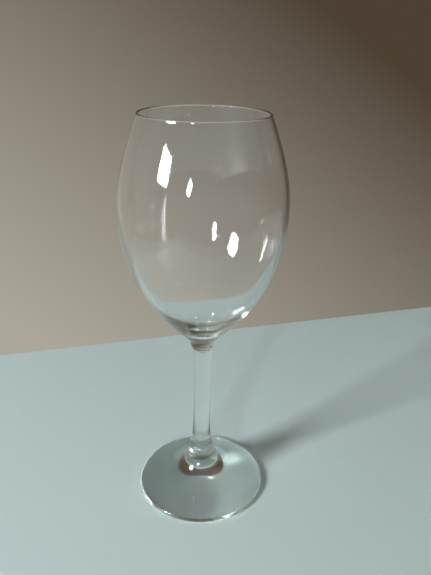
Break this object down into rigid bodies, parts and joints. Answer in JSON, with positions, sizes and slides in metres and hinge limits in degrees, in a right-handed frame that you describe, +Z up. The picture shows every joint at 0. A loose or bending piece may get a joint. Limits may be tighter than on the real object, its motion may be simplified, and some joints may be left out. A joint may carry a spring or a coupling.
{
  "type": "wine glass",
  "caption": "Stemmed glass for wine: a tall tulip bowl narrowing to its lip, on a slim waisted stem and a low trumpet foot that stands on a flat ring.",
  "frame": {"origin": "middle of the flat standing ring, on the surface that the glass stands on", "axes": "+Z up the axis of the glass; the part is round about Z, so +X and +Y are any two directions square to it"},
  "size_m": [0.0824, 0.0824, 0.21],
  "materials": {
    "clear_glass": "clear soda-lime glass with a faint green cast, fire polished"
  },
  "bodies": {
    "root": {"bowl": "clear_glass", "stem": "clear_glass", "foot": "clear_glass"}
  },
  "joints": []
}
